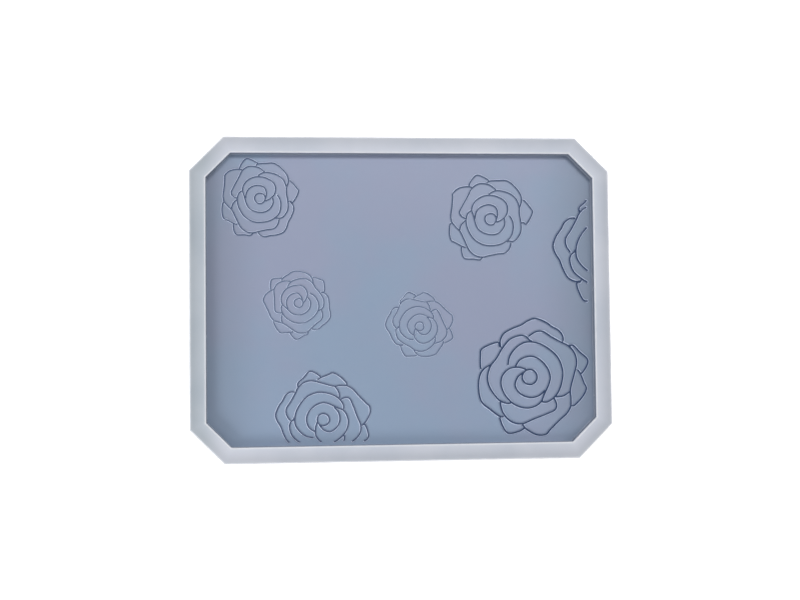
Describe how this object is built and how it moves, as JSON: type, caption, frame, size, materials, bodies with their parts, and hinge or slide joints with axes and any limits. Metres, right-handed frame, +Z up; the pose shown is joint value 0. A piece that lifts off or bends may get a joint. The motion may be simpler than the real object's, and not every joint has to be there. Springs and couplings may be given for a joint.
{
  "type": "resin casting mould",
  "caption": "Shallow rectangular silicone casting mould with cut corners, a thick raised rim and a flat floor carrying line-drawn roses as low ridges.",
  "frame": {"origin": "middle of the underside, on the surface that the mould rests on", "axes": "+X along the mould's length, +Y across it, +Z up out of the cavity"},
  "size_m": [0.292, 0.224, 0.01],
  "materials": {
    "rim_silicone": "satin, milky and translucent",
    "floor_silicone": "semi-gloss, milky and translucent",
    "ridge_silicone": "semi-gloss, milky and translucent"
  },
  "bodies": {
    "root": {"rim_wall": "rim_silicone", "floor_sheet": "floor_silicone", "rose_far_left": "ridge_silicone", "rose_far_right": "ridge_silicone", "rose_right_edge": "ridge_silicone", "rose_mid_left": "ridge_silicone", "rose_centre": "ridge_silicone", "rose_near_edge": "ridge_silicone", "rose_near_right": "ridge_silicone"}
  },
  "joints": []
}
